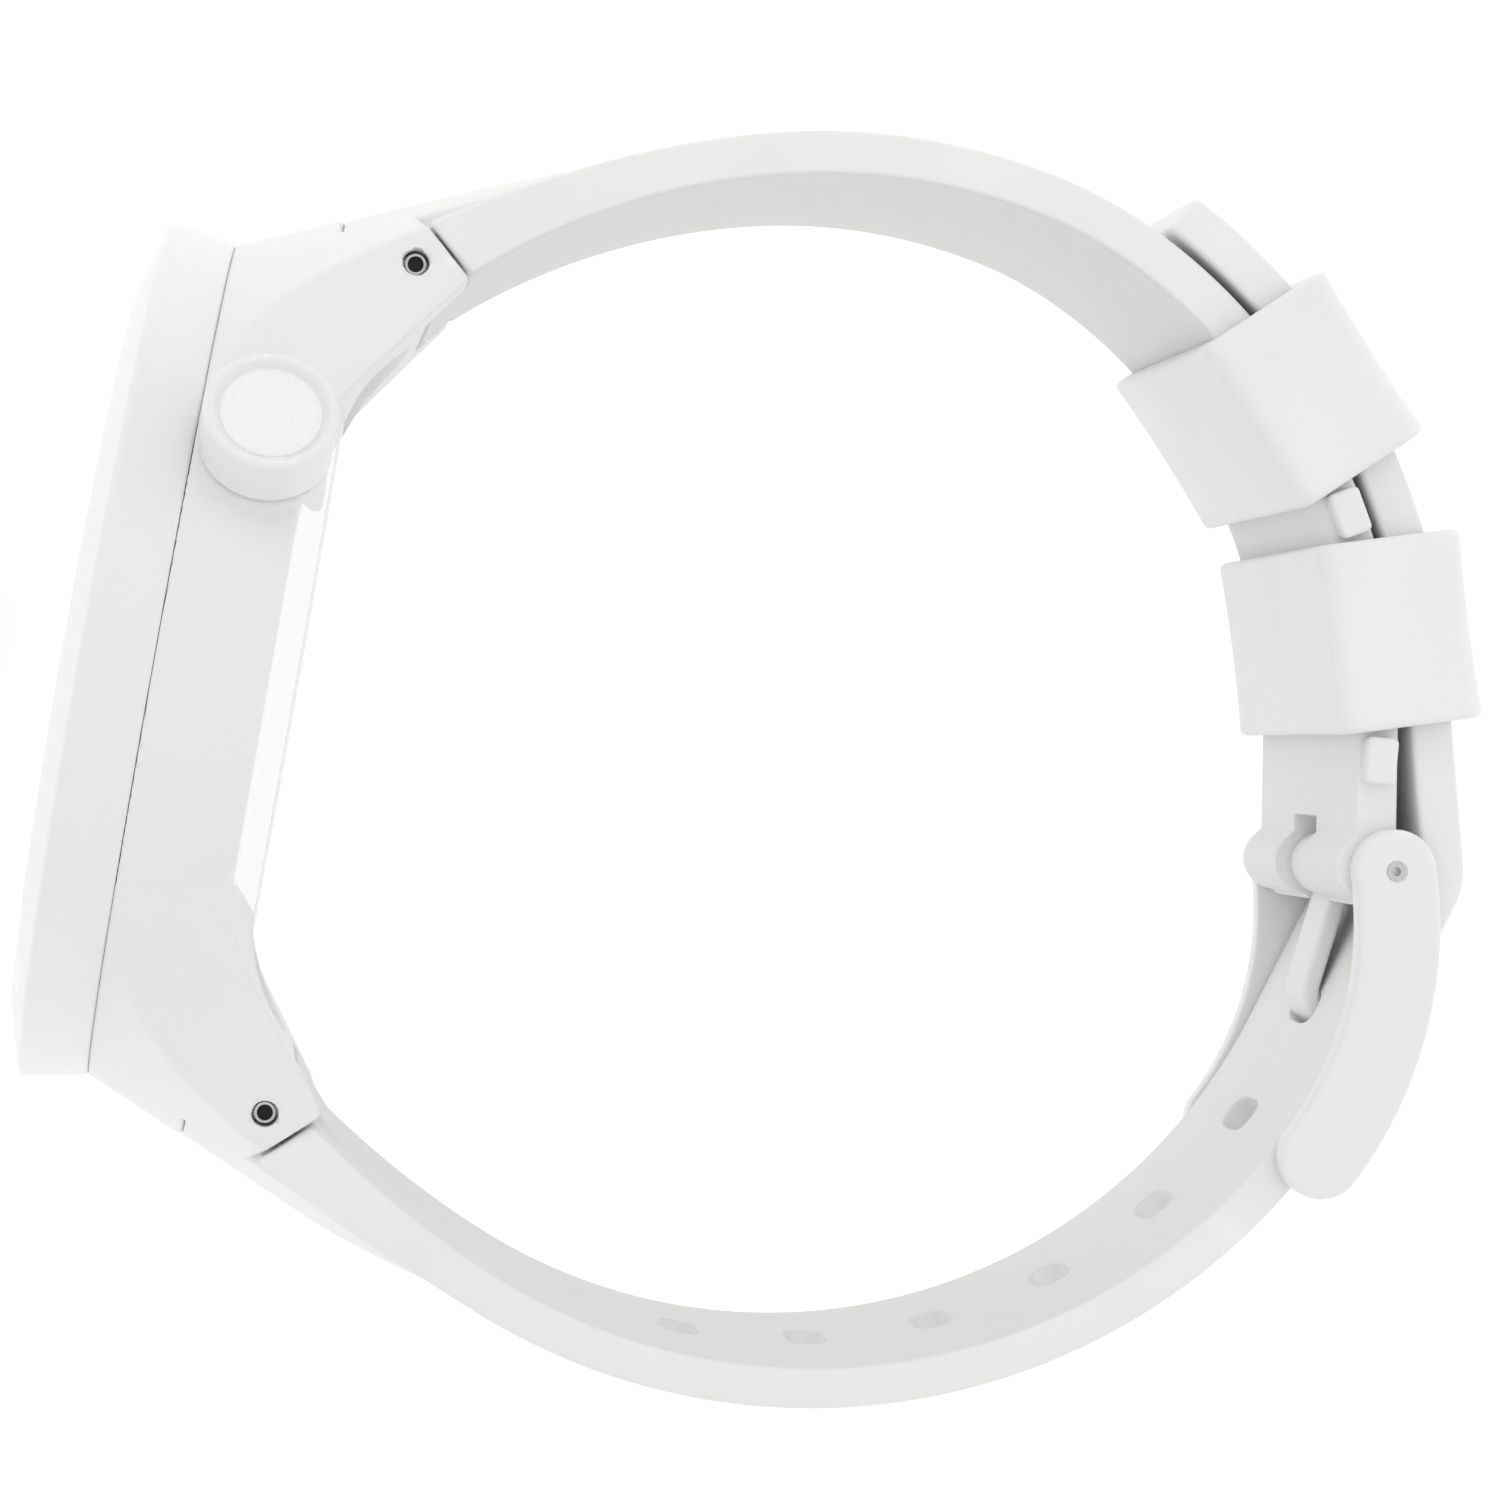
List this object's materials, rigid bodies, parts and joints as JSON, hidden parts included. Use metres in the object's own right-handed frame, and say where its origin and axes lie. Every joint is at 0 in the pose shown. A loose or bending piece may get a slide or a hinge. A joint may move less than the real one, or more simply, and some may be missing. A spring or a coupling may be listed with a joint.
{
  "type": "golf gps watch",
  "caption": "Round wristwatch with a satellite receiver, a press-and-turn crown, and a rubber strap closed by a pin buckle and keepers.",
  "frame": {"origin": "middle of the flat of the case back, which is the face that lies on the wrist or in a charging cradle", "axes": "+X from the dial through the case to the buckle, +Y to 12 o'clock, +Z to the crown side at 3 o'clock; the watch lies on its 9 o'clock side"},
  "size_m": [0.0753, 0.0677, 0.0485],
  "materials": {
    "shell_white": "matte",
    "bezel_white": "satin",
    "back_white": "gloss",
    "crown_white": "satin",
    "seal_black": "matte",
    "crystal_glass": "polished",
    "dial_black": "matte",
    "display_dark": "gloss",
    "steel_sheet": "brushed",
    "carrier_black": "matte",
    "flex_amber": "satin",
    "antenna_copper": "satin",
    "board_green": "satin",
    "screw_steel": "satin",
    "chip_black": "matte",
    "ceramic_white": "matte",
    "battery_steel": "satin",
    "contact_gold": "polished",
    "tungsten_weight": "satin",
    "encoder_black": "matte",
    "switch_black": "matte",
    "pin_steel": "satin",
    "strap_white": "matte",
    "keeper_white": "matte",
    "buckle_white": "satin",
    "tongue_white": "satin"
  },
  "bodies": {
    "watch": {"case_middle": "shell_white", "bezel": "bezel_white", "bezel_gasket": "seal_black", "crystal": "crystal_glass", "crystal_gasket": "seal_black", "dial_ring": "dial_black", "display_panel": "display_dark", "display_backing": "steel_sheet", "display_carrier": "carrier_black", "display_flex": "flex_amber", "gps_antenna": "antenna_copper", "main_board": "board_green", "board_screws": "screw_steel", "processor_shield": "steel_sheet", "processor": "chip_black", "gps_receiver": "ceramic_white", "battery": "battery_steel", "battery_leads": "contact_gold", "motor_case": "steel_sheet", "motor_shaft": "screw_steel", "case_back": "back_white", "case_back_screws": "screw_steel", "back_gasket": "seal_black", "contact_block": "carrier_black", "charging_contacts": "contact_gold", "crown_tube": "screw_steel", "encoder_sensor": "chip_black", "crown_bracket": "steel_sheet", "crown_switch": "switch_black", "lug_pin_upper": "pin_steel", "lug_pin_lower": "pin_steel", "strap_short": "strap_white", "strap_long": "strap_white"},
    "crown_plunger": {"crown_thrust_plate": "carrier_black"},
    "crown": {"crown_cap": "crown_white", "crown_stem": "screw_steel", "crown_seals": "seal_black", "encoder_wheel": "encoder_black"},
    "upper_keeper": {"keeper_upper": "keeper_white"},
    "lower_keeper": {"keeper_lower": "keeper_white"},
    "buckle": {"buckle_frame": "buckle_white", "buckle_pin": "pin_steel"},
    "tongue": {"buckle_tongue": "tongue_white"},
    "rotor": {"motor_rotor": "tungsten_weight"}
  },
  "joints": [
    {"name": "crown_press", "type": "slide", "parent": "watch", "child": "crown_plunger", "axis": [0, -0.4848, -0.8746], "range_m": [0, 0.0003], "stiffness_N_per_m": 4000},
    {"name": "crown_turn", "type": "hinge", "parent": "crown_plunger", "child": "crown", "pos_m": [-0.00375, 0.01212, 0.02186], "axis": [0, 0.4848, 0.8746], "continuous": true},
    {"name": "upper_keeper_slide", "type": "hinge", "parent": "watch", "child": "upper_keeper", "pos_m": [0.02767, 0.00361, 0], "axis": [0, 0, 1], "range_deg": [-0.1, 10]},
    {"name": "lower_keeper_slide", "type": "hinge", "parent": "watch", "child": "lower_keeper", "pos_m": [0.02767, 0.00361, 0], "axis": [0, 0, 1], "range_deg": [-0.3, 0.2]},
    {"name": "buckle_swing", "type": "hinge", "parent": "watch", "child": "buckle", "pos_m": [0.05915, 0.0002, 0], "axis": [0, 0, 1], "range_deg": [0, 120]},
    {"name": "tongue_swing", "type": "hinge", "parent": "watch", "child": "tongue", "pos_m": [0.05915, 0.0002, 0], "axis": [0, 0, -1], "range_deg": [0, 75]},
    {"name": "motor_spin", "type": "hinge", "parent": "watch", "child": "rotor", "pos_m": [-0.0048, 0.0121, -0.003], "axis": [1, 0, 0], "continuous": true}
  ]
}
